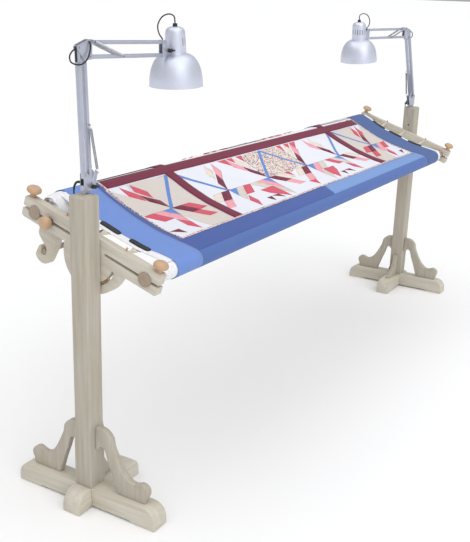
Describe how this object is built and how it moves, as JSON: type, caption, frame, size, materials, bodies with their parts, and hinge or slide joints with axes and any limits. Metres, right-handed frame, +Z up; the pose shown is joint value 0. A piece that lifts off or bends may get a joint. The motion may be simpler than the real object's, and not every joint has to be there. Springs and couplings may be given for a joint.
{
  "type": "quilting floor frame",
  "caption": "Hand-quilting floor frame with post stands, tilting side arms, a quilt stretched between rollers, and swing-arm lamps on the posts.",
  "frame": {"origin": "on the floor, midway between the two posts", "axes": "+X along the quilt towards the right stand, -Y towards the quilter, +Z up"},
  "size_m": [3.0747, 0.5937, 1.5647],
  "materials": {
    "pale_wood": "unfinished pale basswood or poplar, sanded",
    "knob_wood": "turned wood, clear lacquer",
    "roller_wood": "end grain of a round pole, matt",
    "quilt_cloth": "cotton, pieced and bordered in blue",
    "silver_paint": "satin silver enamel",
    "steel": "zinc-plated",
    "black_plastic": "matt black",
    "bulb_glass": "frosted white"
  },
  "bodies": {
    "stands": {"left_post": "pale_wood", "left_long_foot": "pale_wood", "left_cross_foot": "pale_wood", "left_front_bracket": "pale_wood", "left_rear_bracket": "pale_wood", "left_inner_bracket": "pale_wood", "left_pivot_bolt": "steel", "left_lead": "black_plastic", "left_lead_coil": "black_plastic", "left_lead_plug": "black_plastic", "right_post": "pale_wood", "right_long_foot": "pale_wood", "right_cross_foot": "pale_wood", "right_front_bracket": "pale_wood", "right_rear_bracket": "pale_wood", "right_inner_bracket": "pale_wood", "right_pivot_bolt": "steel", "right_lead": "black_plastic", "right_lead_coil": "black_plastic", "right_lead_plug": "black_plastic"},
    "head": {"left_arm": "pale_wood", "right_arm": "pale_wood", "left_hook_bracket": "pale_wood", "right_hook_bracket": "pale_wood", "quilt_panel": "quilt_cloth"},
    "front_roller": {"front_roller": "roller_wood", "front_quilt_roll": "quilt_cloth"},
    "rear_roller": {"rear_roller": "roller_wood", "rear_quilt_roll": "quilt_cloth"},
    "batting_bar": {"batting_bar": "roller_wood"},
    "left_front_clamp_knob": {"left_front_clamp_knob": "knob_wood"},
    "left_rear_clamp_knob": {"left_rear_clamp_knob": "knob_wood"},
    "left_hook_knob": {"left_hook_knob": "knob_wood"},
    "left_tilt_knob": {"left_tilt_knob": "knob_wood"},
    "left_lamp_base": {"left_lamp_base": "silver_paint"},
    "left_lamp_base_wing": {"left_lamp_base_wing": "black_plastic"},
    "left_lamp_lower_tube_a": {"left_lamp_lower_tube_a": "silver_paint"},
    "left_lamp_lower_tube_b": {"left_lamp_lower_tube_b": "silver_paint"},
    "left_lamp_elbow": {"left_lamp_elbow": "silver_paint"},
    "left_lamp_upper_tube_a": {"left_lamp_upper_tube_a": "silver_paint"},
    "left_lamp_upper_tube_b": {"left_lamp_upper_tube_b": "silver_paint"},
    "left_lamp_head": {"left_lamp_head": "silver_paint"},
    "left_lamp_shade_wing": {"left_lamp_shade_wing": "black_plastic"},
    "left_lamp_shade": {"left_lamp_shade": "silver_paint", "left_lamp_bulb": "bulb_glass"},
    "right_front_clamp_knob": {"right_front_clamp_knob": "knob_wood"},
    "right_rear_clamp_knob": {"right_rear_clamp_knob": "knob_wood"},
    "right_hook_knob": {"right_hook_knob": "knob_wood"},
    "right_tilt_knob": {"right_tilt_knob": "knob_wood"},
    "right_lamp_base": {"right_lamp_base": "silver_paint"},
    "right_lamp_base_wing": {"right_lamp_base_wing": "black_plastic"},
    "right_lamp_lower_tube_a": {"right_lamp_lower_tube_a": "silver_paint"},
    "right_lamp_lower_tube_b": {"right_lamp_lower_tube_b": "silver_paint"},
    "right_lamp_elbow": {"right_lamp_elbow": "silver_paint"},
    "right_lamp_upper_tube_a": {"right_lamp_upper_tube_a": "silver_paint"},
    "right_lamp_upper_tube_b": {"right_lamp_upper_tube_b": "silver_paint"},
    "right_lamp_head": {"right_lamp_head": "silver_paint"},
    "right_lamp_shade_wing": {"right_lamp_shade_wing": "black_plastic"},
    "right_lamp_shade": {"right_lamp_shade": "silver_paint", "right_lamp_bulb": "bulb_glass"}
  },
  "joints": [
    {"name": "head_tilt", "type": "hinge", "parent": "stands", "child": "head", "pos_m": [0, 0, 0.866], "axis": [1, 0, 0], "range_deg": [-62.6, 37.4]},
    {"name": "rear_roller_turn", "type": "hinge", "parent": "head", "child": "rear_roller", "pos_m": [0, 0.24162, 0.97412], "axis": [1, 0, 0], "continuous": true},
    {"name": "front_roller_turn", "type": "hinge", "parent": "head", "child": "front_roller", "pos_m": [0, -0.20543, 0.83231], "axis": [1, 0, 0], "continuous": true},
    {"name": "batting_bar_turn", "type": "hinge", "parent": "head", "child": "batting_bar", "pos_m": [0, 0.23894, 0.83374], "axis": [1, 0, 0], "continuous": true},
    {"name": "left_front_clamp_knob_turn", "type": "hinge", "parent": "head", "child": "left_front_clamp_knob", "pos_m": [-1.38495, -0.24937, 0.8617], "axis": [0, -0.3024, 0.9532], "range_deg": [0, 360]},
    {"name": "left_rear_clamp_knob_turn", "type": "hinge", "parent": "head", "child": "left_rear_clamp_knob", "pos_m": [-1.38495, 0.26059, 1.02346], "axis": [0, -0.3024, 0.9532], "range_deg": [0, 360]},
    {"name": "left_hook_knob_turn", "type": "hinge", "parent": "head", "child": "left_hook_knob", "pos_m": [-1.4, 0.1768, 0.95356], "axis": [-1, 0, 0], "range_deg": [0, 360]},
    {"name": "left_tilt_knob_turn", "type": "hinge", "parent": "stands", "child": "left_tilt_knob", "pos_m": [-1.3699, 0, 0.778], "axis": [1, 0, 0], "range_deg": [0, 360]},
    {"name": "left_lamp_swivel", "type": "hinge", "parent": "stands", "child": "left_lamp_base", "pos_m": [-1.435, 0, 1.076], "axis": [0, 0, 1], "range_deg": [-150, 30]},
    {"name": "left_lamp_base_wing_turn", "type": "hinge", "parent": "left_lamp_base", "child": "left_lamp_base_wing", "pos_m": [-1.40089, -0.00772, 1.096], "axis": [0.014, -0.9999, 0], "range_deg": [0, 360]},
    {"name": "left_lamp_lower_arm", "type": "hinge", "parent": "left_lamp_base", "child": "left_lamp_lower_tube_a", "pos_m": [-1.435, 0, 1.136], "axis": [0.014, -0.9999, 0], "range_deg": [-47.3, 17.7]},
    {"name": "left_lamp_lower_pair", "type": "hinge", "parent": "left_lamp_base", "child": "left_lamp_lower_tube_b", "pos_m": [-1.407, 0.00039, 1.11], "axis": [0.014, -0.9999, 0], "range_deg": [-47.3, 17.7]},
    {"name": "left_lamp_elbow_level", "type": "hinge", "parent": "left_lamp_lower_tube_a", "child": "left_lamp_elbow", "pos_m": [-1.45017, -0.00021, 1.5137], "axis": [0.014, -0.9999, 0], "range_deg": [-17.7, 47.3]},
    {"name": "left_lamp_upper_arm", "type": "hinge", "parent": "left_lamp_elbow", "child": "left_lamp_upper_tube_a", "pos_m": [-1.40017, 0.00049, 1.5277], "axis": [0.014, -0.9999, 0], "range_deg": [-38.2, 51.8]},
    {"name": "left_lamp_upper_pair", "type": "hinge", "parent": "left_lamp_elbow", "child": "left_lamp_upper_tube_b", "pos_m": [-1.40017, 0.00049, 1.48569], "axis": [0.014, -0.9999, 0], "range_deg": [-38.2, 51.8]},
    {"name": "left_lamp_head_level", "type": "hinge", "parent": "left_lamp_upper_tube_a", "child": "left_lamp_head", "pos_m": [-1.0224, 0.00576, 1.51582], "axis": [0.014, -0.9999, 0], "range_deg": [-51.8, 38.2]},
    {"name": "left_lamp_shade_tilt", "type": "hinge", "parent": "left_lamp_head", "child": "left_lamp_shade", "pos_m": [-0.9924, 0.00618, 1.48782], "axis": [0.014, -0.9999, 0], "range_deg": [-19, 40]},
    {"name": "left_lamp_shade_wing_turn", "type": "hinge", "parent": "left_lamp_head", "child": "left_lamp_shade_wing", "pos_m": [-0.99228, -0.00202, 1.48782], "axis": [0.014, -0.9999, 0], "range_deg": [0, 360]},
    {"name": "right_front_clamp_knob_turn", "type": "hinge", "parent": "head", "child": "right_front_clamp_knob", "pos_m": [1.38495, -0.24937, 0.8617], "axis": [0, -0.3024, 0.9532], "range_deg": [0, 360]},
    {"name": "right_rear_clamp_knob_turn", "type": "hinge", "parent": "head", "child": "right_rear_clamp_knob", "pos_m": [1.38495, 0.26059, 1.02346], "axis": [0, -0.3024, 0.9532], "range_deg": [0, 360]},
    {"name": "right_hook_knob_turn", "type": "hinge", "parent": "head", "child": "right_hook_knob", "pos_m": [1.4, 0.1768, 0.95356], "axis": [1, 0, 0], "range_deg": [0, 360]},
    {"name": "right_tilt_knob_turn", "type": "hinge", "parent": "stands", "child": "right_tilt_knob", "pos_m": [1.3699, 0, 0.778], "axis": [-1, 0, 0], "range_deg": [0, 360]},
    {"name": "right_lamp_swivel", "type": "hinge", "parent": "stands", "child": "right_lamp_base", "pos_m": [1.435, 0, 1.076], "axis": [0, 0, 1], "range_deg": [-20, 150]},
    {"name": "right_lamp_base_wing_turn", "type": "hinge", "parent": "right_lamp_base", "child": "right_lamp_base_wing", "pos_m": [1.4027, 0.01342, 1.096], "axis": [0.1564, 0.9877, 0], "range_deg": [0, 360]},
    {"name": "right_lamp_lower_arm", "type": "hinge", "parent": "right_lamp_base", "child": "right_lamp_lower_tube_a", "pos_m": [1.435, 0, 1.136], "axis": [0.1564, 0.9877, 0], "range_deg": [-27.4, 37.6]},
    {"name": "right_lamp_lower_pair", "type": "hinge", "parent": "right_lamp_base", "child": "right_lamp_lower_tube_b", "pos_m": [1.40735, 0.00438, 1.11], "axis": [0.1564, 0.9877, 0], "range_deg": [-27.4, 37.6]},
    {"name": "right_lamp_elbow_level", "type": "hinge", "parent": "right_lamp_lower_tube_a", "child": "right_lamp_elbow", "pos_m": [1.32211, 0.01788, 1.49631], "axis": [0.1564, 0.9877, 0], "range_deg": [-37.6, 27.4]},
    {"name": "right_lamp_upper_arm", "type": "hinge", "parent": "right_lamp_elbow", "child": "right_lamp_upper_tube_a", "pos_m": [1.27273, 0.0257, 1.51031], "axis": [0.1564, 0.9877, 0], "range_deg": [-40, 50]},
    {"name": "right_lamp_upper_pair", "type": "hinge", "parent": "right_lamp_elbow", "child": "right_lamp_upper_tube_b", "pos_m": [1.27273, 0.0257, 1.46831], "axis": [0.1564, 0.9877, 0], "range_deg": [-40, 50]},
    {"name": "right_lamp_head_level", "type": "hinge", "parent": "right_lamp_upper_tube_a", "child": "right_lamp_head", "pos_m": [0.89938, 0.08483, 1.51031], "axis": [0.1564, 0.9877, 0], "range_deg": [-50, 40]},
    {"name": "right_lamp_shade_tilt", "type": "hinge", "parent": "right_lamp_head", "child": "right_lamp_shade", "pos_m": [0.86975, 0.08953, 1.48231], "axis": [0.1564, 0.9877, 0], "range_deg": [-15, 40]},
    {"name": "right_lamp_shade_wing_turn", "type": "hinge", "parent": "right_lamp_head", "child": "right_lamp_shade_wing", "pos_m": [0.87103, 0.09763, 1.48231], "axis": [0.1564, 0.9877, 0], "range_deg": [0, 360]}
  ],
  "couplings": [
    {"joint": "front_roller_turn", "follows": "rear_roller_turn", "ratio": 1.5},
    {"joint": "left_lamp_lower_pair", "follows": "left_lamp_lower_arm", "ratio": 1},
    {"joint": "left_lamp_elbow_level", "follows": "left_lamp_lower_arm", "ratio": -1},
    {"joint": "left_lamp_upper_pair", "follows": "left_lamp_upper_arm", "ratio": 1},
    {"joint": "left_lamp_head_level", "follows": "left_lamp_upper_arm", "ratio": -1},
    {"joint": "right_lamp_lower_pair", "follows": "right_lamp_lower_arm", "ratio": 1},
    {"joint": "right_lamp_elbow_level", "follows": "right_lamp_lower_arm", "ratio": -1},
    {"joint": "right_lamp_upper_pair", "follows": "right_lamp_upper_arm", "ratio": 1},
    {"joint": "right_lamp_head_level", "follows": "right_lamp_upper_arm", "ratio": -1}
  ]
}
